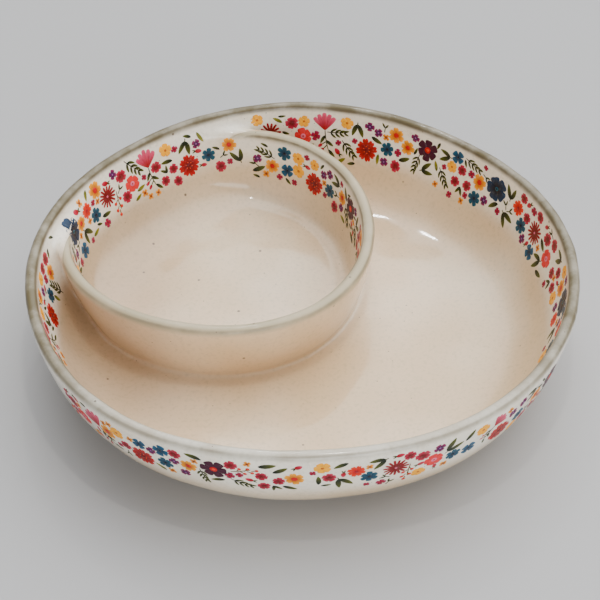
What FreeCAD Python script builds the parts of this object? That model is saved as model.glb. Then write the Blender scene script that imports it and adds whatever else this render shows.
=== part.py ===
import FreeCAD, Part
import math
import os

# Chip and dip server in stoneware: a low round platter bowl whose back-left wall is shared with a
# dip well. The dip well's own wall springs out of the platter wall, curves round and returns to it.
#
# Millimetres, +Z up. The origin is under the middle of the server's bounding box, on the surface
# that it stands on. Angles are in degrees about the platter's centre, anticlockwise from +X as
# seen from above.

# Driving dimensions: the platter
PLATTER_CENTRE = FreeCAD.Vector(-0.66, -2.52, 0.0)  # the rim's waves set it off the box's middle
SERVER_HEIGHT = 67.0        # table to the crest of the platter's rim
UNDERSIDE = 3.0             # height of the floor slab's underside above the table
FLOOR_TOP = 9.0             # height of the eating surface
FOOT_RADIUS = 116.0         # outside of the foot ring, and of the flat floor slab
FOOT_WIDTH = 8.0
FOOT_CHAMFER = 1.0
FLARE_TOP = 24.0            # where the low flare ends and the steep part of the wall begins
RIM_ROLL = 3.3              # rounding of both edges of the platter's 7 mm lip

# The platter wall's outer and inner faces, as (radius, height) from the foot to the start of the roll
PLATTER_OUTSIDE = (
    (118.5, UNDERSIDE), (128.0, 4.9), (139.0, 10.0), (147.5, 18.3), (153.0, 27.0),
    (157.0, 37.0), (160.0, 48.0), (162.0, 58.0), (162.5, SERVER_HEIGHT - RIM_ROLL),
)
PLATTER_INSIDE = (
    (118.5, FLOOR_TOP), (129.0, 12.0), (138.0, 18.0), (144.8, 27.0), (149.5, 38.0),
    (153.0, 49.0), (155.0, 58.0), (155.5, SERVER_HEIGHT - RIM_ROLL),
)

# Driving dimensions: the dip well
DIP_CENTRE = PLATTER_CENTRE + FreeCAD.Vector(-48.8, 47.6, 0.0)
DIP_HEIGHT = 57.0           # table to the crest of the dip well's rim
DIP_RIM_ROLL = 3.7          # rounding of both edges of the dip well's 8 mm rim
SHARED_ARC = (118.0, 153.0)  # where the platter wall alone closes the dip well

# The dip well wall's outer and inner faces, as (radius about DIP_CENTRE, height)
DIP_OUTSIDE = (
    (86.0, FLOOR_TOP), (89.2, 16.0), (92.6, 26.0), (95.3, 36.0), (97.4, 46.0),
    (98.6, DIP_HEIGHT - DIP_RIM_ROLL),
)
DIP_INSIDE = (
    (75.0, FLOOR_TOP), (80.8, 12.0), (84.5, 20.0), (87.3, 31.0), (89.2, 43.0),
    (90.6, DIP_HEIGHT - DIP_RIM_ROLL),
)

# The hand-formed outline of each rim, as (waves round the rim, cosine mm, sine mm)
PLATTER_WAVES = ((2, 1.8, -1.7), (3, 0.6, -1.6), (5, 0.1, 1.0))
DIP_WAVES = ((2, -0.6, 0.8), (3, -2.3, -1.3))

# Driving dimensions: the printed decal transfers
DECAL_THICKNESS = 0.3
WALL_BAND = (27.0, 62.0)            # lowest and highest point of a band inside the platter wall
DIP_BAND = (22.0, 52.0)             # of the band inside the dip well's own wall
OUTER_BAND = (31.0, 62.0)           # of the band outside the platter wall
STRIP_GAP_DEGREES = 0.6             # butt gap between two strips of one band
CHIP_WELL_STRIPS = 3
CHIP_WELL_ARC = (-192.0, 104.0)     # clear of both junctions with the dip well's wall
OUTER_STRIPS = 3
OUTER_ARC = (-210.0, 150.0)

OUTLINE_POINTS = 40                 # points of one smooth closed outline
ROLL_STEPS = 3                      # stretches of a rolled edge's quarter circle
OPEN_TOP = 8.0                      # how far a cutting solid runs on above an open rim
FAR = 400.0                         # larger than the server


def wobble(angle, waves):
    """Extra radius of a hand-formed rim at an angle in radians."""
    return sum(c * math.cos(n * angle) + s * math.sin(n * angle) for n, c, s in waves)


def outline(centre, radius, height, rim_height, waves):
    """Closed smooth outline at one height. The rim's waves die away towards the foot."""
    share = math.sqrt((height - UNDERSIDE) / (rim_height - UNDERSIDE))
    points = []
    for index in range(OUTLINE_POINTS):
        angle = 2.0 * math.pi * index / OUTLINE_POINTS
        reach = radius + share * wobble(angle, waves)
        point = FreeCAD.Vector(reach * math.cos(angle), reach * math.sin(angle), height)
        points.append(point + centre)
    curve = Part.BSplineCurve()
    curve.interpolate(Points=points, PeriodicFlag=True)
    return Part.Wire([curve.toShape()])


def loft(centre, levels, rim_height, waves):
    """Solid through outlines at the given (radius, height) levels."""
    wires = [outline(centre, radius, height, rim_height, waves) for radius, height in levels]
    return Part.makeLoft(wires, True, False)


def rolled_edge(start, roll, outward):
    """Levels of a quarter circle from a wall face up to its crest."""
    radius, height = start
    side = 1.0 if outward else -1.0
    levels = []
    for step in range(ROLL_STEPS + 1):
        turn = 0.5 * math.pi * step / ROLL_STEPS
        levels.append((radius - side * roll * (1.0 - math.cos(turn)), height + roll * math.sin(turn)))
    return levels


def rolled_rim(centre, outside, inside, roll, waves):
    """Top of a wall, where both faces roll over to meet at the crest."""
    rim_height = outside[-1][1] + roll
    outer = loft(centre, rolled_edge(outside[-1], roll, True), rim_height, waves)
    inner = loft(centre, rolled_edge(inside[-1], roll, False), rim_height, waves)
    return only_solid(outer.cut(inner))


def platter_outside(grow=0.0):
    """Solid inside the platter's outer face, up to the start of the roll."""
    levels = [(radius + grow, height) for radius, height in PLATTER_OUTSIDE]
    return loft(PLATTER_CENTRE, levels, SERVER_HEIGHT, PLATTER_WAVES)


def platter_inside(inset=0.0):
    """Space inside the platter's inner face, carried on above the rim."""
    levels = [(radius - inset, height) for radius, height in PLATTER_INSIDE]
    levels.append((levels[-1][0], SERVER_HEIGHT + OPEN_TOP))
    return loft(PLATTER_CENTRE, levels, SERVER_HEIGHT, PLATTER_WAVES)


def dip_outside():
    """Solid inside the dip well wall's outer face, up to the start of the roll."""
    return loft(DIP_CENTRE, DIP_OUTSIDE, DIP_HEIGHT, DIP_WAVES)


def dip_space(profile, inset=0.0):
    """Space inside one face of the dip well's wall, carried on above its rim."""
    levels = [(radius - inset, height) for radius, height in profile]
    levels.append((levels[-1][0], SERVER_HEIGHT + OPEN_TOP))
    return loft(DIP_CENTRE, levels, DIP_HEIGHT, DIP_WAVES)


def cylinder(radius, low, high):
    """Solid cylinder about the platter's centre, between two heights."""
    return Part.makeCylinder(radius, high - low, PLATTER_CENTRE + FreeCAD.Vector(0.0, 0.0, low))


def slab_between(low, high):
    """Everything between two heights."""
    corner = FreeCAD.Vector(-FAR / 2.0, -FAR / 2.0, low)
    return Part.makeBox(FAR, FAR, high - low, corner)


def sector(start, end):
    """Wedge about the platter's centre between two angles less than 150 degrees apart."""
    corners = [PLATTER_CENTRE]
    for angle in (start, 0.5 * (start + end), end):
        turn = math.radians(angle)
        corners.append(PLATTER_CENTRE + FreeCAD.Vector(FAR * math.cos(turn), FAR * math.sin(turn), 0.0))
    corners.append(PLATTER_CENTRE)
    return Part.Face(Part.makePolygon(corners)).extrude(FreeCAD.Vector(0.0, 0.0, FAR))


def only_solid(shape):
    """The largest solid of a cut's result."""
    return max(shape.Solids, key=lambda solid: solid.Volume)


def make_base_slab():
    """Round floor that both wells share."""
    return cylinder(FOOT_RADIUS, UNDERSIDE, FLOOR_TOP)


def make_foot_ring():
    """Unglazed ring that the server stands on."""
    hollow = cylinder(FOOT_RADIUS - FOOT_WIDTH, 0.0, UNDERSIDE)
    ring = cylinder(FOOT_RADIUS, 0.0, UNDERSIDE).cut(hollow)
    standing_edges = [edge for edge in ring.Edges if edge.BoundBox.ZMax < 0.01]
    return ring.makeChamfer(FOOT_CHAMFER, standing_edges)


def platter_shell():
    """The platter's wall from the floor slab's edge up to the start of the roll."""
    shell = platter_outside().cut(platter_inside())
    return only_solid(shell.cut(cylinder(FOOT_RADIUS, 0.0, SERVER_HEIGHT)))


def make_platter_flare():
    """Low outward sweep of the wall, round the floor slab."""
    return only_solid(platter_shell().common(slab_between(0.0, FLARE_TOP)))


def make_platter_wall():
    """Steep part of the wall, above the flare, with a rolled lip."""
    wall = only_solid(platter_shell().common(slab_between(FLARE_TOP, SERVER_HEIGHT)))
    lip = rolled_rim(PLATTER_CENTRE, PLATTER_OUTSIDE, PLATTER_INSIDE, RIM_ROLL, PLATTER_WAVES)
    return only_solid(wall.fuse(lip))


def make_dip_well_wall():
    """Wall luted to the platter wall at both ends and to the floor slab, with a rolled rim."""
    ring = only_solid(dip_outside().cut(dip_space(DIP_INSIDE)))
    ring = ring.fuse(rolled_rim(DIP_CENTRE, DIP_OUTSIDE, DIP_INSIDE, DIP_RIM_ROLL, DIP_WAVES))
    inside = ring.common(platter_inside())
    return only_solid(inside.cut(sector(*SHARED_ARC)))


def inside_skin():
    """Thin layer on the inner face of the platter wall."""
    skin = platter_inside().cut(platter_inside(inset=DECAL_THICKNESS))
    return skin.common(slab_between(*WALL_BAND))


def strips(skin, arc, count):
    """One band's skin cut into equal strips with a butt gap between them."""
    start, end = arc
    pitch = (end - start) / count
    half_gap = 0.5 * STRIP_GAP_DEGREES
    pieces = []
    for index in range(count):
        low = start + index * pitch + half_gap
        pieces.append(only_solid(skin.common(sector(low, low + pitch - STRIP_GAP_DEGREES))))
    return pieces


def make_chip_well_decals():
    """Band strips on the platter wall, in the chip well."""
    outside_dip = inside_skin().cut(dip_space(DIP_OUTSIDE))
    return strips(outside_dip, CHIP_WELL_ARC, CHIP_WELL_STRIPS)


def make_dip_well_back_decal():
    """Band strip on the platter wall, in the dip well."""
    return only_solid(inside_skin().common(dip_space(DIP_INSIDE)))


def make_dip_well_front_decal():
    """Band strip on the dip well's own wall."""
    skin = dip_space(DIP_INSIDE).cut(dip_space(DIP_INSIDE, inset=DECAL_THICKNESS))
    skin = skin.common(slab_between(*DIP_BAND))
    return only_solid(skin.common(platter_inside(inset=2.0 * DECAL_THICKNESS)))


def make_outer_decals():
    """Band strips on the outside of the platter wall."""
    skin = platter_outside(grow=DECAL_THICKNESS).cut(platter_outside())
    return strips(skin.common(slab_between(*OUTER_BAND)), OUTER_ARC, OUTER_STRIPS)


def main():
    nodes = {
        "base_slab": make_base_slab(),
        "foot_ring": make_foot_ring(),
        "platter_flare": make_platter_flare(),
        "platter_wall": make_platter_wall(),
        "dip_well_wall": make_dip_well_wall(),
        "dip_well_back_decal": make_dip_well_back_decal(),
        "dip_well_front_decal": make_dip_well_front_decal(),
    }
    for number, strip in enumerate(make_chip_well_decals(), start=1):
        nodes[f"chip_well_decal_{number}"] = strip
    for number, strip in enumerate(make_outer_decals(), start=1):
        nodes[f"outer_decal_{number}"] = strip

    os.makedirs("parts", exist_ok=True)
    for name, shape in nodes.items():
        shape.exportStep(f"parts/{name}.step")
        box = shape.BoundBox
        print(f"{name}: valid {shape.isValid()}, solids {len(shape.Solids)}, "
              f"volume {shape.Volume / 1000.0:.2f} cm3, z {box.ZMin:.2f} to {box.ZMax:.2f}")


main()
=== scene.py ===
import math
from collections import namedtuple

import bpy
import numpy as np
from mathutils import Matrix, Vector


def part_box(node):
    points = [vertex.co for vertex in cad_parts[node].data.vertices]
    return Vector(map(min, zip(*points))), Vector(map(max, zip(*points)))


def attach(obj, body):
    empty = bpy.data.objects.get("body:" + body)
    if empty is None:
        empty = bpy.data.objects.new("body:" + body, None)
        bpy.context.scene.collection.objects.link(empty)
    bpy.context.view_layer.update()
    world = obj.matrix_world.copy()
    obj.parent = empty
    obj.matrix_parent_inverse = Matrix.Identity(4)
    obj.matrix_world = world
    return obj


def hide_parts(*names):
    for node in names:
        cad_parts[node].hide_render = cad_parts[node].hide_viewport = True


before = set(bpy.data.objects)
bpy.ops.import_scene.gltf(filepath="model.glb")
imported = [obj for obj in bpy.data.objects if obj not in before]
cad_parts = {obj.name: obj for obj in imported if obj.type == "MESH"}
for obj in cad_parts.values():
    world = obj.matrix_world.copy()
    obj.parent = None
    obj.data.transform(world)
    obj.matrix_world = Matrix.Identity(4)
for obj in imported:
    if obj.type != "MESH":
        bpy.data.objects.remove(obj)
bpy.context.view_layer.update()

# Chip and dip server: glazed stoneware with printed floral bands. The maths below is in
# millimetres about the platter's centre, and each mesh goes to the frame's metres as it is made.
MM = 0.001
ROOT = "root"

# ---------------------------------------------------------------- sizes taken from the frame
wall_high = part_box("platter_wall")[1]
dip_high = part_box("dip_well_wall")[1]
slab_low, slab_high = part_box("base_slab")
foot_low, foot_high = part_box("foot_ring")
RIM_HEIGHT = wall_high.z / MM
DIP_HEIGHT = dip_high.z / MM
FLOOR_TOP = slab_high.z / MM
UNDERSIDE = slab_low.z / MM
FOOT_RADIUS = 0.5 * (foot_high.x - foot_low.x) / MM
PLATTER_CENTRE = 0.5 * (foot_low + foot_high)
DIP_CENTRE = (-48.8, 47.6)              # from the platter's centre

# Wall faces as (radius, height), to where each lip starts to roll over
LIP_ROLL = 3.5
DIP_ROLL = 4.0
PLATTER_OUTSIDE = ((118.5, UNDERSIDE), (128.0, 4.9), (139.0, 10.0), (147.5, 18.3), (153.0, 27.0),
                   (157.0, 37.0), (160.0, 48.0), (162.0, 58.0), (162.5, RIM_HEIGHT - LIP_ROLL))
PLATTER_INSIDE = ((98.0, FLOOR_TOP), (109.0, FLOOR_TOP + 0.2), (119.5, FLOOR_TOP + 1.2), (129.0, 12.6),
                  (138.0, 18.2), (144.8, 27.0), (149.5, 38.0),
                  (153.0, 49.0), (155.0, 58.0), (155.5, RIM_HEIGHT - LIP_ROLL))
DIP_OUTSIDE = ((86.0, FLOOR_TOP), (89.2, 16.0), (92.6, 26.0), (95.3, 36.0), (97.4, 46.0),
               (98.6, DIP_HEIGHT - DIP_ROLL))
DIP_INSIDE = ((75.0, FLOOR_TOP), (80.8, 12.0), (84.5, 20.0), (87.3, 31.0), (89.2, 43.0),
              (90.6, DIP_HEIGHT - DIP_ROLL))

# Hand-formed outline of each rim, as (waves round the rim, cosine mm, sine mm)
PLATTER_WAVES = ((2, 1.8, -1.7), (3, 0.6, -1.6), (5, 0.1, 1.0))
DIP_WAVES = ((2, -0.6, 0.8), (3, -2.3, -1.3))


def wobble(angle, waves):
    return sum(c * np.cos(n * angle) + s * np.sin(n * angle) for n, c, s in waves)


def rim_share(height, rim_height):
    """How much of the rim's waves a height has: none at the foot, all at the rim."""
    return np.sqrt(np.clip((height - UNDERSIDE) / (rim_height - UNDERSIDE), 0.0, 1.3))


# ---------------------------------------------------------------- cross-sections
LIP_POINTS = 15


def smooth_path(points, steps=6):
    """Catmull-Rom curve through points."""
    p = np.array(points, float)
    p = np.vstack([2.0 * p[0] - p[1], p, 2.0 * p[-1] - p[-2]])
    t = np.linspace(0.0, 1.0, steps, endpoint=False)[:, None]
    out = []
    for a, b, c, d in zip(p, p[1:], p[2:], p[3:]):
        out.append(0.5 * (2 * b + (c - a) * t + (2 * a - 5 * b + 4 * c - d) * t**2
                          + (3 * b - a - 3 * c + d) * t**3))
    return np.vstack(out + [p[-2:-1]])


def rolled_section(outside, inside, crest):
    """Section of a wall in three runs: up the outside, over the rounded lip, down the inside."""
    up = smooth_path(outside)
    down = smooth_path(inside)[::-1]
    middle = 0.5 * (up[-1, 0] + down[0, 0])
    half = 0.5 * (up[-1, 0] - down[0, 0])
    base = up[-1, 1]
    turn = np.linspace(0.0, math.pi, LIP_POINTS)[1:-1]
    roll = np.column_stack([middle + half * np.cos(turn), base + (crest - base) * np.sin(turn)])
    return up, roll, down


def distance_map(section, low, high, step):
    """Signed distance to a closed section, negative inside, on a grid of radius and height."""
    xs = np.arange(low[0], high[0] + step, step)
    ys = np.arange(low[1], high[1] + step, step)
    px, py = np.meshgrid(xs, ys, indexing="ij")
    best = np.full(px.shape, 1e9)
    inside = np.zeros(px.shape, bool)
    for (ax, ay), (bx, by) in zip(section, np.roll(section, -1, axis=0)):
        ex, ey = bx - ax, by - ay
        along = np.clip(((px - ax) * ex + (py - ay) * ey) / max(ex * ex + ey * ey, 1e-12), 0.0, 1.0)
        best = np.minimum(best, (px - ax - along * ex) ** 2 + (py - ay - along * ey) ** 2)
        crosses = (ay > py) != (by > py)
        inside ^= crosses & (px < ax + (py - ay) * ex / (ey if abs(ey) > 1e-12 else 1e-12))
    return np.sqrt(best) * np.where(inside, -1.0, 1.0), low, step


def sample(field, x, y):
    """Bilinear reading of a distance map."""
    values, low, step = field
    u = np.clip((x - low[0]) / step, 0.0, values.shape[0] - 1.001)
    v = np.clip((y - low[1]) / step, 0.0, values.shape[1] - 1.001)
    i, j = u.astype(int), v.astype(int)
    fu, fv = u - i, v - j
    return ((values[i, j] * (1 - fu) + values[i + 1, j] * fu) * (1 - fv)
            + (values[i, j + 1] * (1 - fu) + values[i + 1, j + 1] * fu) * fv)


MAP_STEP = 0.25             # millimetres between readings
MARGIN = 12.0               # how far a map runs past the clay, up and down
PAST_AXIS = -40.0           # sections close on the far side of the axis, so that it has no edge
MAP_START = -20.0
PLATTER_REACH = 182.0
DIP_REACH = 240.0           # the platter's far wall, from the dip well's axis
up, roll, down = rolled_section(PLATTER_OUTSIDE, PLATTER_INSIDE, RIM_HEIGHT)
platter_section = np.vstack([[(PAST_AXIS, UNDERSIDE)], up, roll, down, [(PAST_AXIS, FLOOR_TOP)]])
filled_section = np.vstack([[(PAST_AXIS, UNDERSIDE)], up, roll, [(PAST_AXIS, RIM_HEIGHT)]])
up, roll, down = rolled_section(DIP_OUTSIDE, DIP_INSIDE, DIP_HEIGHT)
buried = UNDERSIDE + 2.0                # the dip well's wall starts inside the slab
dip_section = np.vstack([[(up[0, 0], buried)], up, roll, down, [(down[-1, 0], buried)]])
TOP = RIM_HEIGHT + MARGIN
platter_map = distance_map(platter_section, (MAP_START, -MARGIN), (PLATTER_REACH, TOP), MAP_STEP)
filled_map = distance_map(filled_section, (MAP_START, -MARGIN), (PLATTER_REACH, TOP), MAP_STEP)
dip_map = distance_map(dip_section, (MAP_START, -MARGIN), (DIP_REACH, TOP), 2 * MAP_STEP)

# ---------------------------------------------------------------- the fired body as one skin
FLOOR_BLEND = 3.5       # fillet where the dip well's wall meets the floor
JOIN_BLEND = 9.0        # and where it runs into the platter's wall, higher up
WALL = 7.0              # thickness of the platter's wall at the lip
WALL_BITE = 1.0         # how far the dip well's wall runs into the platter wall
BITE_BLEND = 2.0        # how softly it ends there
BLEND_LOW = 14.0        # heights between which the floor's fillet turns into the join's
BLEND_HIGH = 34.0
# Soft dents as (depth in mm, two wave numbers per mm, phase)
HAND_MARKS = ((0.16, 0.055, 0.021, 0.4), (0.14, -0.031, 0.068, 1.9), (0.10, 0.118, 0.092, 3.1),
              (0.09, -0.124, 0.083, 0.7), (0.06, 0.043, -0.171, 5.2))


def hand_marks(x, y, z):
    """Soft dents that pressing and sponging leave in the clay."""
    total = 0.0
    for size, kx, ky, phase in HAND_MARKS:
        total = total + size * np.sin(kx * x + ky * y + phase) * np.cos(ky * x - kx * y + 0.05 * z)
    return total


def smoothstep(value, low, high):
    t = np.clip((value - low) / (high - low), 0.0, 1.0)
    return t * t * (3.0 - 2.0 * t)


def smooth_min(a, b, width):
    h = np.clip(width - np.abs(a - b), 0.0, None) / width
    return np.minimum(a, b) - h * h * width * 0.25


def even_radii(x, y, z):
    """Distance from each bowl's axis with the hand-formed waves taken out."""
    platter = np.hypot(x, y) - rim_share(z, RIM_HEIGHT) * wobble(np.arctan2(y, x), PLATTER_WAVES)
    dx, dy = x - DIP_CENTRE[0], y - DIP_CENTRE[1]
    dip = np.hypot(dx, dy) - rim_share(z, DIP_HEIGHT) * wobble(np.arctan2(dy, dx), DIP_WAVES)
    return platter, dip


def clay(x, y, z):
    """Signed distance to the server's surface in millimetres, negative in the clay."""
    platter_even, dip_even = even_radii(x, y, z)
    platter = sample(platter_map, platter_even, z)
    dip = sample(dip_map, dip_even, z)
    dip = -smooth_min(-dip, -(sample(filled_map, platter_even, z) + WALL - WALL_BITE), BITE_BLEND)
    width = FLOOR_BLEND + (JOIN_BLEND - FLOOR_BLEND) * smoothstep(z, BLEND_LOW, BLEND_HIGH)
    return smooth_min(platter, dip, width) + hand_marks(x, y, z)


def slope(x, y, z, step=0.4):
    gx = clay(x + step, y, z) - clay(x - step, y, z)
    gy = clay(x, y + step, z) - clay(x, y - step, z)
    gz = clay(x, y, z + step) - clay(x, y, z - step)
    return np.column_stack([gx, gy, gz]) / (2.0 * step)


def settle(points, rounds=4):
    """Moves points onto the surface and gives the surface's normals there."""
    p = np.array(points, float)
    for _ in range(rounds):
        g = slope(*p.T)
        value = clay(*p.T)[:, None]
        p -= value * g / np.clip((g * g).sum(1, keepdims=True), 0.05, None)
    g = slope(*p.T)
    return p, g / np.linalg.norm(g, axis=1, keepdims=True)


def surface_net(low, high, step):
    """Quad mesh of the clay's surface: one point in each grid cell that the surface crosses."""
    axes = [np.arange(a, b + step, step) for a, b in zip(low, high)]
    gx, gy, gz = np.meshgrid(*axes, indexing="ij")
    value = clay(gx.ravel(), gy.ravel(), gz.ravel()).reshape(gx.shape)
    inside = value < 0.0
    shape = [n - 1 for n in value.shape]
    total = np.zeros(shape + [3])
    count = np.zeros(shape)
    corner = [slice(None, -1), slice(1, None)]
    for axis in range(3):
        others = [a for a in range(3) if a != axis]
        for first in (0, 1):
            for second in (0, 1):
                pick_a, pick_b = [None] * 3, [None] * 3
                pick_a[axis], pick_b[axis] = corner[0], corner[1]
                pick_a[others[0]] = pick_b[others[0]] = corner[first]
                pick_a[others[1]] = pick_b[others[1]] = corner[second]
                va, vb = value[tuple(pick_a)], value[tuple(pick_b)]
                cut = (va < 0.0) != (vb < 0.0)
                part = np.where(cut, va / np.where(cut, va - vb, 1.0), 0.0)
                total[..., axis] += part
                total[..., others[0]] += cut * first
                total[..., others[1]] += cut * second
                count += cut
    active = count > 0
    index = np.full(shape, -1)
    index[active] = np.arange(active.sum())
    cell = np.argwhere(active)
    points = np.array(low) + step * (cell + total[active] / count[active][:, None])
    quads = []
    for axis in range(3):
        u, v = [a for a in range(3) if a != axis]
        pick_a, pick_b = [slice(None)] * 3, [slice(None)] * 3
        pick_a[axis], pick_b[axis] = corner
        flips = inside[tuple(pick_a)] != inside[tuple(pick_b)]
        at = np.argwhere(flips)
        at = at[(at[:, u] > 0) & (at[:, v] > 0) & (at[:, u] < shape[u]) & (at[:, v] < shape[v])]
        ring = []
        for du, dv in ((1, 1), (0, 1), (0, 0), (1, 0)):
            c = at.copy()
            c[:, u] -= du
            c[:, v] -= dv
            ring.append(index[tuple(c.T)])
        quad = np.column_stack(ring)
        outward = inside[tuple(at.T)]
        if axis == 1:
            outward = ~outward
        quads.append(np.where(outward[:, None], quad, quad[:, ::-1]))
    return points, np.vstack(quads)


def make_object(name, points, faces, material, smooth=True):
    """Object from points in millimetres about the platter's centre."""
    place = np.array([PLATTER_CENTRE.x, PLATTER_CENTRE.y, 0.0])
    mesh = bpy.data.meshes.new(name)
    mesh.from_pydata((np.asarray(points) * MM + place).tolist(), [], faces)
    mesh.polygons.foreach_set("use_smooth", [smooth] * len(mesh.polygons))
    mesh.materials.append(material)
    mesh.update()
    ob = bpy.data.objects.new(name, mesh)
    bpy.context.scene.collection.objects.link(ob)
    return ob


def paint(ob, name, values):
    """Stores one number or one colour per point, for the material to read."""
    values = np.asarray(values, np.float32)
    if values.ndim == 1:
        layer = ob.data.attributes.new(name, "FLOAT", "POINT")
        layer.data.foreach_set("value", values)
    else:
        layer = ob.data.attributes.new(name, "FLOAT_COLOR", "POINT")
        opaque = np.column_stack([values, np.ones(len(values), np.float32)])
        layer.data.foreach_set("color", opaque.ravel())


# ---------------------------------------------------------------- materials
class Graph:
    """The node tree of a material or world, with short ways to add to it."""

    def __init__(self, owner, space="Object"):
        owner.use_nodes = True
        self.owner = owner
        self.nodes = owner.node_tree.nodes
        self.links = owner.node_tree.links
        self.place = self.add("TexCoord").outputs[space]

    def feed(self, socket, value):
        """Links a socket to another's output, or sets its number, vector or (r, g, b)."""
        if isinstance(value, bpy.types.NodeSocket):
            self.links.new(value, socket)
        elif socket.type == "RGBA":
            socket.default_value = (*value, 1.0)
        else:
            socket.default_value = value

    def add(self, kind, **sockets):
        """New node, with what goes into its sockets."""
        made = self.nodes.new("ShaderNode" + kind)
        for name, value in sockets.items():
            self.feed(made.inputs[name.replace("_", " ").title()], value)
        return made

    def shade(self, **sockets):
        """Feeds the shader's own sockets."""
        for name, value in sockets.items():
            self.feed(self.nodes["Principled BSDF"].inputs[SHADER_SOCKETS[name]], value)

    def noise(self, scale, detail=3.0, rough=0.55):
        """Noise at a scale per metre."""
        made = self.add("TexNoise", vector=self.place, scale=scale, detail=detail, roughness=rough)
        return made.outputs["Fac"]

    def ramp(self, source, low, high, bottom=0.0, top=1.0):
        """Rescales a number smoothly from low-high to bottom-top."""
        made = self.add("MapRange", value=source, from_min=low, from_max=high, to_min=bottom, to_max=top)
        made.interpolation_type = "SMOOTHSTEP"
        return made.outputs["Result"]

    def calc(self, operation, a, b=0.0):
        """One step of arithmetic, such as ADD or ABSOLUTE."""
        made = self.nodes.new("ShaderNodeMath")
        made.operation = operation
        self.feed(made.inputs[0], a)
        self.feed(made.inputs[1], b)
        return made.outputs["Value"]

    def times(self, a, b):
        return self.calc("MULTIPLY", a, b)

    def blend(self, share, a, b):
        """Mixes two colours."""
        made = self.nodes.new("ShaderNodeMix")
        made.data_type = "RGBA"
        self.feed(made.inputs["Factor"], share)
        for name, value in (("A", a), ("B", b)):
            self.feed(next(i for i in made.inputs if i.name == name and i.type == "RGBA"), value)
        return next(o for o in made.outputs if o.type == "RGBA")

    def read(self, name, output="Fac"):
        """A number or colour that the mesh stores."""
        made = self.nodes.new("ShaderNodeAttribute")
        made.attribute_name = name
        return made.outputs[output]

    def bump(self, height, distance, strength):
        made = self.add("Bump", height=height, distance=distance, strength=strength)
        self.shade(normal=made.outputs["Normal"])


SHADER_SOCKETS = {
    "colour": "Base Color", "roughness": "Roughness", "specular": "Specular IOR Level",
    "coat": "Coat Weight", "coat_roughness": "Coat Roughness", "coat_ior": "Coat IOR", "normal": "Normal",
}


def screen(red, green, blue):
    """Linear colour from screen values of 0 to 255."""
    c = np.array([red, green, blue]) / 255.0
    return tuple(float(v) for v in np.where(c <= 0.04045, c / 12.92, ((c + 0.055) / 1.055) ** 2.4))


GLAZE = screen(236, 214, 182)
GLAZE_WARM = screen(222, 192, 150)
GLAZE_PALE = screen(250, 244, 228)
GLAZE_THIN = screen(104, 93, 64)
# colour of the painted shade, low down on the left side
PAINTED_SHADE = screen(168, 136, 100)
GLAZE_RIM = screen(180, 166, 134)
GLAZE_EDGE = screen(92, 80, 58)
SPECK = screen(70, 50, 36)
CLAY = screen(196, 176, 146)
CLAY_DARK = screen(176, 150, 118)
GROG = screen(120, 92, 64)
INK_SHADE = (0.02, 0.01, 0.02)

# Where the glaze's colour changes over the server, with painted shade and a painted highlight, in metres
# from the frame's middle
LIP_HIGHLIGHT_Y = -0.15         # painted highlight: the platter's and dip well's lips are lighter in front of this, where they catch the light
LIP_HIGHLIGHT_END_Y = -0.06          # and have their full khaki from here back
LIP_HIGHLIGHT_SHARE = 0.45      # how much of the thin glaze's colour a lip keeps under the painted highlight
LEFT_SHADE_X = -0.11              # painted shade: low down, the glaze is painted darker and browner on this side of here
LEFT_SHADE_END_X = -0.055            # and has no painted shade from here on
# strength of the painted shade
LEFT_SHADE_SHARE = 0.5
PALE_SHARE = 0.85           # how far the glaze up a wall goes to its pale colour

# Thin glaze on each lip: (attribute, height of its crest, half its width, its roll, colour)
LIPS = (("from_lip", RIM_HEIGHT, 3.5, LIP_ROLL, GLAZE_THIN),
        ("from_dip_rim", DIP_HEIGHT, 4.0, DIP_ROLL, GLAZE_RIM))
# Dark lines where the glaze breaks over a lip's edges: (which edge, how far in, width, strength)
LIP_LINES = ((-1.0, 0.7, 0.75, 0.75), (1.0, 0.9, 0.9, 0.4))
SPECKS = ((80.0, 0.042), (200.0, 0.045))        # cells in a metre, and a speck's size in its cell
GLOSS = 0.8                                     # weight of the glossy coat
LIP_DULLING = 0.6                               # and how much of it thin glaze on a lip loses


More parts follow.
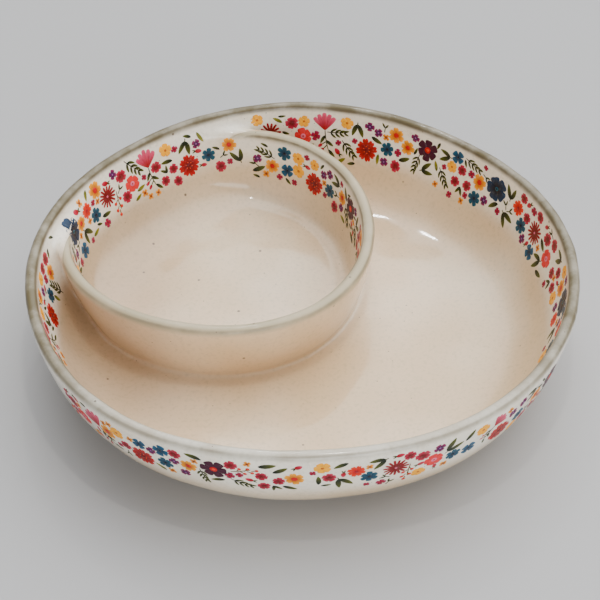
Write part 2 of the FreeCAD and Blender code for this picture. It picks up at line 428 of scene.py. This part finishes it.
def glaze_material():
    """Soft ivory glaze: mottled, thin and khaki on the lips, with iron specks; painted shade low down on
    the left and a painted highlight on the front of the lips.
    """
    g = Graph(bpy.data.materials.new("ivory_glaze"))
    axes = g.add("SeparateXYZ", vector=g.place).outputs
    drift = g.noise(9.0, 2.0)
    mottle = g.noise(46.0, 4.0, 0.6)
    grain = g.noise(420.0, 2.0)
    upper = g.read("upper")
    colour = g.blend(g.ramp(drift, 0.34, 0.66), GLAZE, GLAZE_WARM)
    # painted shade: darker and browner low down on the left side, where the walls shade the floor
    left_shade = g.times(g.calc("SUBTRACT", 1.0, upper), g.ramp(axes["X"], LEFT_SHADE_X, LEFT_SHADE_END_X, LEFT_SHADE_SHARE, 0.0))
    colour = g.blend(left_shade, colour, PAINTED_SHADE)
    colour = g.blend(g.times(upper, PALE_SHARE), colour, GLAZE_PALE)
    colour = g.blend(g.ramp(mottle, 0.42, 0.72, 0.0, 0.22), colour, GLAZE_WARM)
    colour = g.blend(g.ramp(grain, 0.45, 0.8, 0.0, 0.16), colour, GLAZE_THIN)
    # painted highlight: the lips take less of the thin glaze's khaki towards the front, with random
    # mottling
    mottle_and_highlight = g.times(g.ramp(mottle, 0.25, 0.7, 0.75, 1.05),
                     g.ramp(axes["Y"], LIP_HIGHLIGHT_Y, LIP_HIGHLIGHT_END_Y, LIP_HIGHLIGHT_SHARE, 1.0))
    shine = GLOSS
    for name, top, half, roll, thin in LIPS:
        offset = g.read(name)
        near = g.ramp(g.calc("ABSOLUTE", offset), half + 0.2, half + 1.6, 1.0, 0.0)
        high = g.ramp(axes["Z"], (top - roll - 2.0) * MM, (top - 1.6) * MM)
        cover = g.times(g.times(near, high), mottle_and_highlight)
        colour = g.blend(cover, colour, thin)
        shine = g.calc("SUBTRACT", shine, g.times(cover, LIP_DULLING))
        for side, inset, width, depth in LIP_LINES:
            away = g.calc("ABSOLUTE", g.calc("SUBTRACT", offset, side * (half - inset)))
            line = g.ramp(away, 0.15 * width, width, depth, 0.0)
            broken = g.times(line, g.ramp(mottle, 0.3, 0.6, 0.45, 1.0))
            near_top = g.ramp(axes["Z"], (top - 4.2) * MM, (top - 2.6) * MM)
            colour = g.blend(g.times(broken, near_top), colour, GLAZE_EDGE)
    for scale, size in SPECKS:
        cells = g.add("TexVoronoi", vector=g.place, scale=scale)
        patch = g.ramp(g.noise(31.0 + 0.1 * scale, 1.0), 0.56, 0.62)
        dot = g.ramp(cells.outputs["Distance"], size, 2.2 * size, 0.8, 0.0)
        colour = g.blend(g.times(dot, patch), colour, SPECK)
    g.shade(colour=colour, roughness=g.ramp(mottle, 0.3, 0.75, 0.30, 0.42), specular=0.22, coat=shine,
            coat_roughness=0.08, coat_ior=1.5)
    swell = g.calc("ADD", g.noise(26.0, 2.0), g.times(g.noise(110.0, 1.0), 0.11))
    g.bump(swell, 0.0022, 0.5)
    return g.owner


def bare_clay_material():
    """Unglazed stoneware: sandy, with grog and iron specks."""
    g = Graph(bpy.data.materials.new("bare_clay"))
    sand = g.noise(900.0, 4.0, 0.7)
    colour = g.blend(g.ramp(g.noise(60.0, 3.0), 0.3, 0.7), CLAY, CLAY_DARK)
    colour = g.blend(g.ramp(sand, 0.58, 0.72, 0.0, 0.6), colour, GROG)
    g.shade(colour=colour, roughness=0.86)
    g.bump(sand, 0.0004, 0.6)
    return g.owner


def enamel_material():
    """Printed transfer fired under gloss: the ink comes from the mesh, with a dry-brush grain."""
    g = Graph(bpy.data.materials.new("printed_enamel"))
    wash = g.noise(330.0, 3.0, 0.6)
    ink = g.read("ink", "Color")
    dark = g.blend(0.45, ink, INK_SHADE)
    colour = g.blend(g.ramp(wash, 0.5, 0.75, 0.0, 0.55), ink, dark)
    light = g.blend(0.05, colour, GLAZE_PALE)
    colour = g.blend(g.ramp(wash, 0.25, 0.45, 1.0, 0.0), colour, light)
    g.shade(colour=colour, roughness=0.5, specular=0.2, coat=0.25, coat_roughness=0.09)
    g.bump(wash, 0.0002, 0.25)
    return g.owner


# ---------------------------------------------------------------- the fired body
GRID_STEP = 2.0      # of the body's mesh, in millimetres
GRID_EDGE = 3.0             # and how far the grid runs past the clay
FAR = 20.0                  # distances from a lip are kept up to this


def paint_body(body, points):
    """What the glaze needs to know of each point: how far it is from the middle of either rim, and
    how far up a wall."""
    x, y, z = points.T
    even, dip = even_radii(x, y, z)
    on_dip = 1.0 - smoothstep(even, 143.0, 151.0)
    lip_middle = 0.5 * (PLATTER_INSIDE[-1][0] + PLATTER_OUTSIDE[-1][0])
    rim_middle = 0.5 * (DIP_INSIDE[-1][0] + DIP_OUTSIDE[-1][0])
    paint(body, "from_lip", np.clip(even - lip_middle, -FAR, FAR))
    paint(body, "from_dip_rim", np.clip(dip - rim_middle, -FAR, FAR) + FAR * (1.0 - on_dip))
    outer = smoothstep(even, lip_middle, lip_middle + 2.0)
    upper = np.maximum(smoothstep(even, 143.0, 150.0) * smoothstep(z, 24.0, 42.0), outer)
    on_wall = smoothstep(dip, 84.0, 87.0) * (1.0 - smoothstep(dip, 100.0, 103.0))
    in_dip = on_wall * (1.0 - smoothstep(dip, 91.0, 94.0))
    paint(body, "upper", np.maximum(upper, on_dip * in_dip * smoothstep(z, 28.0, 46.0)))


def make_body():
    low = (-170.0, -168.0, UNDERSIDE - GRID_EDGE)
    high = (170.0, 168.0, RIM_HEIGHT + GRID_EDGE)
    points, quads = surface_net(low, high, GRID_STEP)
    points, _ = settle(points)
    body = make_object("stoneware_body", points, quads.tolist(), glaze_material())
    paint_body(body, points)
    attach(body, ROOT)
    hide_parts("base_slab", "platter_flare", "platter_wall", "dip_well_wall")


FOOT_SIDES = 240
# Section of the ring as (depth in from its outside, height), in millimetres
FOOT_SECTION = ((-0.1, 2.9), (0.0, 1.2), (0.35, 0.45), (1.2, 0.0), (3.0, 0.05), (5.2, 0.0),
                (6.9, 0.05), (7.6, 0.5), (8.0, 1.3), (8.1, 3.2), (4.0, 3.4))


def make_foot():
    """Unglazed standing ring with sponged edges, sunk a little into the underside."""
    rng = np.random.default_rng(11)
    ripple = [(n, rng.uniform(0.02, 0.08), rng.uniform(0.0, 6.28)) for n in (3, 5, 9, 14, 23)]
    points, faces = [], []
    count = len(FOOT_SECTION)
    for side in range(FOOT_SIDES):
        angle = 2.0 * math.pi * side / FOOT_SIDES
        for depth, height in FOOT_SECTION:
            wander = sum(a * math.sin(n * angle + p) for n, a, p in ripple) if 0.3 < height < 2.5 else 0.0
            reach = FOOT_RADIUS - 0.1 - 0.97 * depth + 0.8 * wander
            points.append((reach * math.cos(angle), reach * math.sin(angle), max(height, 0.0)))
    for side in range(FOOT_SIDES):
        a, b = side * count, (side + 1) % FOOT_SIDES * count
        for k in range(count):
            n = (k + 1) % count
            faces.append((a + k, a + n, b + n, b + k))
    foot = make_object("bare_foot_ring", points, faces, bare_clay_material())
    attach(foot, ROOT)
    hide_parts("foot_ring")


# ---------------------------------------------------------------- inks and brush marks
INKS = {
    "navy": (0, 10, 26), "petrol": (0, 50, 84), "blue": (0, 90, 124), "deep": (0, 48, 74),
    "teal": (0, 86, 104), "red": (196, 4, 2), "ember": (238, 58, 10), "wine": (112, 0, 8),
    "crimson": (158, 0, 20), "rose": (204, 34, 72), "pink": (230, 112, 140), "coral": (226, 40, 44),
    "yellow": (255, 172, 4), "amber": (196, 96, 4), "orange": (244, 66, 4),
    "magenta": (150, 12, 84), "plum": (54, 8, 66), "lilac": (150, 84, 142), "maroon": (60, 0, 34),
    "leaf": (10, 24, 4), "olive": (88, 92, 8), "moss": (142, 134, 24), "bark": (104, 66, 16),
    "brown": (120, 40, 6), "fuchsia": (220, 78, 112),
}
BRUSH = {False: (8, 5), True: (5, 3)}       # rows and columns of points in a mark, and in a small one
SMALL_MARK = 3.4                            # length in millimetres
LIFT = 0.05                                 # first mark's height above the glaze, in millimetres
LIFT_STEP = 0.011                           # and how much higher each mark over it lies
SUNK = 0.25                                 # how far a mark's underside is below the glaze


Mark = namedtuple("Mark", "x y turn length width root tip point lean bend notch level")


def stroke(x, y, turn, length, width, root, tip, point=1.0, lean=0.0, bend=0.0, notch=0.0, level=0):
    """One brush mark from (x, y) towards turn, in degrees anticlockwise from the band's length."""
    return Mark(x, y, math.radians(turn), length, width, root, tip, point, lean, bend, notch, level)


def along(x, y, turn, reach):
    return x + reach * math.cos(math.radians(turn)), y + reach * math.sin(math.radians(turn))


def spot(x, y, size, ink, level=0, rim=None):
    return stroke(x - 0.5 * size, y, 0.0, size, size, ink, rim or ink, level=level)


def bloom(x, y, turn, size, count, width, root, tip, heart, heart_ink, point=0.65, lean=0.35, notch=0.0):
    """Open flower: petals round a middle, with a spot over their roots."""
    marks = []
    for k in range(count):
        angle = turn + 360.0 * k / count
        px, py = along(x, y, angle, 0.05 * size)
        marks.append(stroke(px, py, angle, (0.45 - 0.03 * (k % 2)) * size, width * size, root, tip,
                            point, lean, notch=notch, level=k))
    marks.append(spot(x, y, heart * size, heart_ink, level=count))
    return marks


def leaf(x, y, turn, size, bend=0.12, root="leaf", tip="olive"):
    return stroke(x, y, turn, size, 0.36 * size, root, tip, point=1.35, lean=-0.15, bend=bend)


def stem(x, y, turn, size, bend=0.0, ink="leaf"):
    return stroke(x, y, turn, size, 0.75, ink, "olive", point=0.3, bend=bend)


def navy_flower(x, y, turn, size):
    marks = bloom(x, y, turn, size, 5, 0.40, "navy", "petrol", 0.16, "teal", 0.5, 0.5, 0.04)
    return marks + [spot(x, y, 0.08 * size, "navy", 7)]


def cross_flower(x, y, turn, size):
    return bloom(x, y, turn, size, 4, 0.44, "deep", "blue", 0.16, "navy", 0.6, 0.45)


def teal_flower(x, y, turn, size):
    return bloom(x, y, turn, size, 6, 0.30, "deep", "teal", 0.2, "navy", 0.7, 0.45)


def red_flower(x, y, turn, size):
    marks = bloom(x, y, turn, size, 8, 0.24, "wine", "red", 0.2, "wine", 0.55, 0.45, 0.12)
    return marks + [spot(*along(x, y, turn + 60.0 * k, 0.14 * size), 0.05 * size, "orange", 10)
                    for k in range(6)]


def ember_flower(x, y, turn, size):
    return bloom(x, y, turn, size, 8, 0.24, "red", "ember", 0.22, "crimson", 0.55, 0.4, 0.1)


def daisy(x, y, turn, size):
    return bloom(x, y, turn, size, 15, 0.10, "wine", "crimson", 0.1, "pink", 0.4, 0.15)


def yellow_flower(x, y, turn, size):
    return bloom(x, y, turn, size, 6, 0.32, "amber", "yellow", 0.32, "red", 0.6, 0.3, 0.1)


def buttercup(x, y, turn, size):
    return bloom(x, y, turn, size, 5, 0.42, "yellow", "yellow", 0.2, "amber", 0.55, 0.3)


def maroon_flower(x, y, turn, size):
    marks = bloom(x, y, turn, size, 6, 0.31, "maroon", "maroon", 0.28, "red", 0.5, 0.5)
    return marks + [spot(x, y, 0.14 * size, "ember", 8)]


def coral_flower(x, y, turn, size):
    marks = bloom(x, y, turn, size, 5, 0.42, "coral", "coral", 0.3, "pink", 0.5, 0.4)
    return marks + [spot(x, y, 0.1 * size, "crimson", 8)]


def blossom(x, y, turn, size):
    return bloom(x, y, turn, size, 5, 0.40, "wine", "rose", 0.22, "wine", 0.5, 0.42, 0.05)


def trio(x, y, turn, size):
    """Three small blossoms on forked leaves."""
    marks = []
    for k, reach in enumerate((0.32, 0.36, 0.34)):
        px, py = along(x, y, turn + 120.0 * k, reach * size)
        marks += blossom(px, py, turn + 50.0 * k, 0.44 * size)
    px, py = along(x, y, turn + 60.0, 0.30 * size)
    marks.append(leaf(px, py, turn + 70.0, 0.36 * size))
    marks.append(leaf(px, py, turn + 28.0, 0.34 * size, -0.1))
    return marks


def mini_flower(x, y, turn, size):
    return bloom(x, y, turn, size, 4, 0.46, "plum", "magenta", 0.2, "lilac", 0.5, 0.4)


def pink_mini(x, y, turn, size):
    return bloom(x, y, turn, size, 4, 0.46, "crimson", "magenta", 0.16, "plum", 0.5, 0.4)


def star(x, y, turn, size):
    return bloom(x, y, turn, size, 4, 0.40, "amber", "yellow", 0.26, "brown", 0.55, 0.35)


def tulip(x, y, turn, size):
    """Fan-shaped flower on a leafy stem with two buds."""
    marks = [stroke(x, y, turn + 19.0 * k, (1.0 - 0.05 * abs(k)) * size, 0.215 * size, "crimson", "fuchsia",
                    0.5, 0.5, level=2 - abs(k)) for k in (-2, 2, -1, 1, 0)]
    back = turn + 180.0
    marks.append(stem(x, y, back, 1.15 * size, 0.16))
    for reach, side, ink in ((0.3, -42.0, None), (0.55, 44.0, None), (0.8, -48.0, "crimson"),
                             (1.05, 36.0, None), (0.62, -60.0, "crimson")):
        px, py = along(x, y, back, reach * size)
        px, py = along(px, py, back + 90.0, 0.16 * reach * reach * size)
        if ink is None:
            marks.append(leaf(px, py, back + side, 0.5 * size))
        else:
            marks.append(stem(px, py, back + side, 0.3 * size))
            marks.append(stroke(*along(px, py, back + side, 0.26 * size), back + side, 0.28 * size,
                                0.17 * size, ink, "rose", level=1))
    return marks


def fern(x, y, turn, size):
    """Curved stem with pairs of leaflets."""
    x, y = along(x, y, turn, -0.5 * size)
    marks = [stem(x, y, turn, size, 0.14)]
    for k in range(4):
        t = 0.18 + 0.22 * k
        px, py = along(x, y, turn, t * size)
        px, py = along(px, py, turn + 90.0, 0.14 * t * t * size)
        for side in (-1.0, 1.0):
            marks.append(stroke(px, py, turn + side * (58.0 - 18.0 * t), (0.40 - 0.16 * t) * size,
                                0.12 * size, "leaf", "olive", 1.4, bend=-0.3 * side, level=1))
    return marks


def sprig(x, y, turn, size):
    """Forked twig with berries."""
    x, y = along(x, y, turn, -0.45 * size)
    marks = [stem(x, y, turn, 0.9 * size, 0.1, "bark")]
    for t, side in ((0.25, 44.0), (0.42, -46.0), (0.6, 40.0), (0.72, -36.0), (0.9, 0.0)):
        px, py = along(x, y, turn, t * size)
        bx, by = along(px, py, turn + side, 0.24 * size)
        marks.append(stem(px, py, turn + side, 0.24 * size, 0.0, "bark"))
        marks.append(spot(bx, by, 0.17 * size, "red", 2, "ember"))
    return marks


def leaf_pair(x, y, turn, size):
    x, y = along(x, y, turn, -0.4 * size)
    return [leaf(x, y, turn + 36.0, 0.85 * size, -0.16), leaf(x, y, turn - 32.0, 0.8 * size, 0.18),
            stem(*along(x, y, turn, -0.15 * size), turn, 0.2 * size)]


def lone_leaf(x, y, turn, size):
    return [leaf(*along(x, y, turn, -0.5 * size), turn, size)]


def moss_leaf(x, y, turn, size):
    return [leaf(*along(x, y, turn, -0.5 * size), turn, size, 0.1, "olive", "moss")]


def sprout(x, y, turn, size):
    return [leaf(x, y, turn + 40.0, 0.55 * size, -0.1), leaf(x, y, turn - 35.0, 0.5 * size, 0.1),
            stem(*along(x, y, turn, -0.4 * size), turn, 0.45 * size)]


def bud(x, y, turn, size):
    return [stroke(x, y, turn, 0.62 * size, 0.42 * size, "crimson", "rose", 0.9, -0.2, level=1),
            leaf(*along(x, y, turn, 0.08 * size), turn + 200.0, 0.4 * size),
            leaf(*along(x, y, turn, 0.08 * size), turn + 158.0, 0.4 * size)]


# ---------------------------------------------------------------- composing a band
# Small work strewn between a band's main flowers: (motif, size in mm, how many in 100 mm)
STREWN = (
    (tulip, 9.5, 0.5), (trio, 18.0, 1.2), (fern, 15.0, 1.6), (sprig, 14.0, 0.8), (leaf_pair, 12.0, 3.2),
    (yellow_flower, 11.0, 1.6), (teal_flower, 10.5, 1.6), (cross_flower, 10.0, 1.6),
    (ember_flower, 10.5, 1.2), (buttercup, 9.0, 1.6), (blossom, 8.2, 3.6), (lone_leaf, 9.5, 4.0),
    (mini_flower, 7.0, 4.5), (pink_mini, 6.2, 3.5), (sprout, 7.6, 4.0), (bud, 7.0, 3.0),
    (moss_leaf, 7.0, 4.0), (star, 5.2, 8.0), (pink_mini, 4.6, 5.0), (lone_leaf, 5.8, 8.0),
)
CLEAR = 0.45                # bare glaze left round a motif, in millimetres
TRIES = 30                  # places tried for each strewn motif


def footprints(marks):
    """Circles that cover the marks, as rows of (x, y, radius)."""
    rows = []
    for x, y, turn, length, width, _, _, _, _, bend, _, _ in marks:
        steps = max(1, int(round(length / max(width, 1.6))))
        for k in range(steps):
            t = (k + 0.5) / steps
            side = bend * length * t * t
            rows.append((x + t * length * math.cos(turn) - side * math.sin(turn),
                         y + t * length * math.sin(turn) + side * math.cos(turn),
                         0.5 * max(width, 0.6 * length / steps)))
    return np.array(rows)


def compose(length, low, high, main, seed):
    """Fills a band with its main flowers and strewn work, with no motif over another.

    low gives the band's lower edge, high is its top, and main lists (motif, size, along, up, turn)."""
    rng = np.random.default_rng(seed)
    taken = np.zeros((0, 3))
    motifs = []

    def place(motif, size, x, y, turn, is_main=False):
        nonlocal taken
        new = motif(x, y, turn, size)
        rings = footprints(new)
        rx, ry, rr = rings.T
        if (rx - rr < 0.0).any() or (rx + rr > length).any():
            return False
        floor = -0.5 if is_main else low(rx)
        if (ry - rr < floor).any() or (ry + rr > high + is_main).any():
            return False
        near = taken[np.abs(taken[:, 0] - x) < 45.0]
        gap = np.hypot(rx[:, None] - near[:, 0], ry[:, None] - near[:, 1])
        if (gap < rr[:, None] + near[:, 2] + (0.2 if is_main else CLEAR)).any():
            return False
        motifs.append(new)
        taken = np.vstack([taken, rings])
        return True

    for motif, size, x, y, turn in main:
        place(motif, size, x, y, turn, True)
    for motif, size, share in STREWN:
        for _ in range(int(math.ceil(share * length / 100.0))):
            for _ in range(TRIES):
                x = rng.uniform(0.0, length)
                y = rng.uniform(low(x), high)
                if place(motif, size * rng.uniform(0.88, 1.1), x, y, rng.uniform(0.0, 360.0)):
                    break
    return motifs


def brush_faces(rows, columns):
    """Faces of one closed mark: its printed side, its edge and its underside."""
    at = np.arange(rows * columns).reshape(rows, columns)
    faces = [(at[r, c], at[r, c + 1], at[r + 1, c + 1], at[r + 1, c])
             for r in range(rows - 1) for c in range(columns - 1)]
    ring = list(at[0, :]) + list(at[1:, -1]) + list(at[-1, -2::-1]) + list(at[-2:0:-1, 0])
    under = [rows * columns + k for k in range(len(ring))]
    for k, corner in enumerate(ring):
        n = (k + 1) % len(ring)
        faces.append((under[k], under[n], ring[n], corner))
    faces.append(tuple(under[::-1]))
    return faces, ring


def brush_points(marks, rows, columns):
    """Flat points and inks of the printed side of each mark."""
    phase = np.linspace(0.0, math.pi, rows)[:, None]
    t = 0.5 - 0.5 * np.cos(phase)
    u = np.linspace(1.0, -1.0, columns)[None, :]
    flat, inks = [], []
    for x, y, turn, length, width, root, tip, point, lean, bend, notch, _ in marks:
        half = 0.5 * width * np.clip(np.sin(phase), 0.1, 1.0) ** point * (1.0 + lean * (2.0 * t - 1.0))
        go = length * t - notch * length * (1.0 - np.abs(u)) ** 1.5 * t**6
        side = half * u + bend * length * t * t
        flat.append(np.stack([x + go * math.cos(turn) - side * math.sin(turn),
                              y + go * math.sin(turn) + side * math.cos(turn)], -1).reshape(-1, 2))
        fade = np.clip(1.25 * t - 0.12 - 0.22 * (1.0 - np.abs(u)), 0.0, 1.0)[..., None]
        a, b = np.array(screen(*INKS[root])), np.array(screen(*INKS[tip]))
        inks.append((a + (b - a) * fade).reshape(-1, 3))
    return np.array(flat), np.array(inks)


# ---------------------------------------------------------------- the printed design
# Main work of a generic floral print, in the order that it comes round: (motif, size in mm)
ROUND = (
    (maroon_flower, 15.5), (buttercup, 9.5), (fern, 13.5), (cross_flower, 11.0), (trio, 17.0),
    (lone_leaf, 9.5), (yellow_flower, 11.5), (mini_flower, 6.6), (navy_flower, 17.0), (blossom, 8.4),
    (leaf_pair, 12.0), (ember_flower, 10.5), (teal_flower, 10.5), (pink_mini, 6.2), (daisy, 15.0),
    (sprig, 14.0), (blossom, 8.8), (coral_flower, 11.5), (star, 5.4), (tulip, 12.5), (cross_flower, 9.5),
    (buttercup, 9.0), (leaf_pair, 11.5), (red_flower, 15.5), (mini_flower, 6.4), (teal_flower, 10.0),
    (blossom, 8.0), (yellow_flower, 10.5), (fern, 13.0),
)
PACE = 7.4                  # millimetres along from one motif to the next
GOLDEN = 0.618034           # each motif goes this share of the band further up, and round again
GOLDEN_TURN = 137.5         # and is turned this many degrees more


def garland(length, rise, start):
    """A strip's main work, spaced by rule from a place in the round, largest first."""
    flowers = []
    for k in range(int(length / PACE)):
        motif, size = ROUND[(start + k) % len(ROUND)]
        low, high = 0.5 * size + 1.5, rise - 0.5 * size - 1.0
        up = low + (high - low) * ((start + k) * GOLDEN % 1.0)
        flowers.append((motif, size, (k + 0.5) * PACE, up, (start + k) * GOLDEN_TURN % 360.0))
    return sorted(flowers, key=lambda flower: -flower[1])


def profile_radius(profile, rim_height, waves):
    """Radius of a wall's face at an angle and height."""
    radii, heights = np.array(profile).T

    def radius(angle, height):
        return np.interp(height, heights, radii) + rim_share(height, rim_height) * wobble(angle, waves)
    return radius


platter_face = profile_radius(PLATTER_INSIDE, RIM_HEIGHT, PLATTER_WAVES)
outer_face = profile_radius(PLATTER_OUTSIDE, RIM_HEIGHT, PLATTER_WAVES)
dip_face = profile_radius(DIP_INSIDE, DIP_HEIGHT, DIP_WAVES)
EDGE_LOWEST = 0.6           # the print's lower edge rises and falls, in millimetres
EDGE_WAVE = 3.2
EDGE_WAVELENGTH = 87.0
STAND_OFF = 4.0             # how far from the wall a print starts before it is pressed on
MARCHES = 26                # steps of the pressing
STRIDE = 0.92               # share of the way to the clay that each step goes
LONGEST_STEP = 12.0
MOST_STRETCH = 1.25         # a motif that pressing would lengthen more than this is left out
MOST_SPREAD = 1.5           # and one that it would widen more than this
STRETCH_SLACK = 0.2         # millimetres that small marks may grow besides
SPREAD_SLACK = 0.3
BARE = ((-162.0, -145.0), (-30.0, -19.0))       # gaps in the outer print, as angles
DIP_BACK_START = 120.0      # inside the dip well all along its shared wall

# Strips as (CAD node, axis, mean radius, first angle, last angle, where from, outward or inward,
# seed of its strewn work, place in the round where it starts)
STRIPS = (
    ("dip_well_back_decal", (0.0, 0.0), 153.0, 167.5, 104.5, "dip well", 1.0, 5, 6),
    ("dip_well_front_decal", DIP_CENTRE, 88.5, 79.0, -169.0, dip_face, 1.0, 6, 17),
    ("chip_well_decal_1", (0.0, 0.0), 153.0, -93.5, -195.0, platter_face, 1.0, 7, 23),
    ("chip_well_decal_2", (0.0, 0.0), 153.0, 5.0, -93.0, platter_face, 1.0, 8, 3),
    ("chip_well_decal_3", (0.0, 0.0), 153.0, 103.5, 5.5, platter_face, 1.0, 9, 12),
    ("outer_decal_1", (0.0, 0.0), 161.0, -209.5, -90.5, outer_face, -1.0, 10, 20),
    ("outer_decal_2", (0.0, 0.0), 161.0, -89.5, 29.5, outer_face, -1.0, 11, 8),
    ("outer_decal_3", (0.0, 0.0), 161.0, 30.5, 149.5, outer_face, -1.0, 12, 26),
)


def press(flat, axis, radius, first, turn, face, towards, low):
    """Carries flat points onto the glaze along lines square to the strip's axis."""
    angle = math.radians(first) + turn * flat[:, 0] / radius
    height = low + flat[:, 1]
    if face == "dip well":
        reach = np.full(len(angle), DIP_BACK_START)
    else:
        reach = face(angle, height) - towards * STAND_OFF
    way = np.column_stack([np.cos(angle), np.sin(angle), np.zeros(len(angle))])
    p = np.column_stack([axis[0] + reach * way[:, 0], axis[1] + reach * way[:, 1], height])
    for _ in range(MARCHES):
        p += way * (towards * STRIDE * np.clip(clay(*p.T), -3.0, LONGEST_STEP))[:, None]
    return settle(p, 2)


def make_strip(node_name, axis, radius, first, last, face, towards, seed, start, material):
    """One strip of the print: a set of closed marks lying on the glaze."""
    low_corner, high_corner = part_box(node_name)
    low = low_corner.z / MM
    rise = high_corner.z / MM - low
    turn = 1.0 if last > first else -1.0
    length = abs(math.radians(last - first)) * radius
    flowers = garland(length, rise, start)

    gaps = []
    if towards < 0.0:
        gaps = [tuple(math.radians(a - first) * radius for a in pair) for pair in BARE]
    flowers = [f for f in flowers if not any(a < f[2] < b for a, b in gaps)]

    def lower_edge(x):
        wave = np.sin(2.0 * math.pi * (x + 9.0 * seed) / EDGE_WAVELENGTH)
        edge = EDGE_LOWEST + EDGE_WAVE * (1.0 + wave)
        for a, b in gaps:
            edge = np.where((x > a) & (x < b), rise, edge)
        return edge

    motifs = compose(length, lower_edge, rise, flowers, seed)
    pressed, torn = [], set()
    for small in (False, True):
        rows, columns = BRUSH[small]
        some = [(mark, k) for k, motif in enumerate(motifs) for mark in motif
                if (mark.length < SMALL_MARK) == small]
        template, ring = brush_faces(rows, columns)
        flat, colours = brush_points([mark for mark, _ in some], rows, columns)
        size = rows * columns
        top, out = press(flat.reshape(-1, 2), axis, radius, first, turn, face, towards, low)
        top, out = top.reshape(-1, size, 3), out.reshape(-1, size, 3)
        spread = np.linalg.norm(top - top[:, :1], axis=2).max(1)
        flat_spread = np.linalg.norm(flat - flat[:, :1], axis=2).max(1)
        left, right = rows // 2 * columns, rows // 2 * columns + columns - 1
        breadth = np.linalg.norm(top[:, left] - top[:, right], axis=1)
        flat_breadth = np.linalg.norm(flat[:, left] - flat[:, right], axis=1)
        stretched = ((spread > MOST_STRETCH * flat_spread + STRETCH_SLACK)
                     | (breadth > MOST_SPREAD * flat_breadth + SPREAD_SLACK))
        torn |= {motif for (_, motif), bad in zip(some, stretched) if bad}
        for (mark, motif), face_points, normals, colour in zip(some, top, out, colours):
            lift = LIFT + LIFT_STEP * mark.level
            both = np.vstack([face_points + lift * normals, face_points[ring] - SUNK * normals[ring]])
            pressed.append((motif, both, np.vstack([colour, colour[ring]]), template))
    points, inks, faces = [], [], []
    count = 0
    for motif, both, colour, template in pressed:
        if motif not in torn:
            points.append(both)
            inks.append(colour)
            faces += [tuple(int(i) + count for i in f) for f in template]
            count += len(both)
    name = node_name.replace("decal", "print")
    strip = make_object(name, np.vstack(points), faces, material)
    paint(strip, "ink", np.vstack(inks))
    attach(strip, ROOT)
    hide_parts(node_name)


make_body()
make_foot()
enamel = enamel_material()
for strip in STRIPS:
    make_strip(*strip, enamel)


# ---------------------------------------------------------------- floor, light and camera
FLOOR_COLOUR = (0.43, 0.425, 0.42)
SKY_COLOUR = (0.95, 0.97, 1.0)
ROOM_LIGHT = 0.38
GLOW = 3.9                  # the glow's brightness over the room's
GLOW_FROM = (0.5, 0.7, 1.3)  # direction to its middle
GLOW_EDGE = 0.55            # cosine of the angle from its middle where it has faded out


def make_floor():
    g = Graph(bpy.data.materials.new("studio_floor"))
    g.shade(colour=FLOOR_COLOUR, roughness=0.6)
    side = 12000.0
    corners = [(-side, -side, 0.0), (side, -side, 0.0), (side, side, 0.0), (-side, side, 0.0)]
    floor = make_object("studio_floor", corners, [(0, 1, 2, 3)], g.owner, False)


def area_light(name, place, aim, size, power, colour=(1.0, 1.0, 1.0)):
    light = bpy.data.lights.new(name, "AREA")
    light.shape = "DISK"
    light.size = size
    light.energy = power
    light.color = colour
    ob = bpy.data.objects.new(name, light)
    ob.location = place
    ob.rotation_euler = (Vector(aim) - Vector(place)).to_track_quat("-Z", "Y").to_euler()
    bpy.context.scene.collection.objects.link(ob)
    return ob


CAMERA_ELEVATION = 42.34    # degrees
CAMERA_ROLL = -1.62
CAMERA_AIM = (-0.00064, -0.03613)       # from the platter's centre, at the rim's height, in metres
CAMERA_DISTANCE = 0.925


def make_camera():
    """Camera in front of the server, looking down into it."""
    elevation = math.radians(CAMERA_ELEVATION)
    roll = math.radians(CAMERA_ROLL)
    target = PLATTER_CENTRE.xy.to_3d() + Vector((*CAMERA_AIM, RIM_HEIGHT * MM))
    back = Vector((0.0, -math.cos(elevation), math.sin(elevation)))
    right = Vector((1.0, 0.0, 0.0))
    up = back.cross(right)
    tilted_right = math.cos(roll) * right + math.sin(roll) * up
    tilted_up = math.cos(roll) * up - math.sin(roll) * right
    camera = bpy.data.cameras.new("camera")
    camera.lens = 96.0
    camera.sensor_width = 36.0
    ob = bpy.data.objects.new("camera", camera)
    turn = Matrix((tilted_right, tilted_up, back)).transposed().to_4x4()
    ob.matrix_world = Matrix.Translation(target + CAMERA_DISTANCE * back) @ turn
    bpy.context.scene.collection.objects.link(ob)
    bpy.context.scene.camera = ob


def make_world():
    """Pale studio with a broad soft glow behind and to the right, as from a big window."""
    g = Graph(bpy.data.worlds.new("studio"), "Generated")
    facing = g.nodes.new("ShaderNodeVectorMath")
    facing.operation = "DOT_PRODUCT"
    g.feed(facing.inputs[0], g.place)
    g.feed(facing.inputs[1], Vector(GLOW_FROM).normalized())
    glow = g.ramp(facing.outputs["Value"], GLOW_EDGE, 1.0, ROOM_LIGHT, ROOM_LIGHT + GLOW)
    background = g.nodes["Background"].inputs
    g.feed(background["Color"], SKY_COLOUR)
    g.feed(background["Strength"], glow)
    bpy.context.scene.world = g.owner


make_floor()
area_light("lamp", (0.1, -0.15, 1.5), (0.0, 0.0, 0.0), 0.05, 3.0, (1.0, 0.95, 0.88))
area_light("back_lamp", (-0.06, 0.9, 1.33), (0.0, 0.0, 0.0), 0.05, 1.4)
area_light("front_fill", (0.35, -1.6, 0.3), (0.0, 0.0, 0.03), 1.4, 26.0, (0.92, 0.96, 1.0))
make_camera()
make_world()
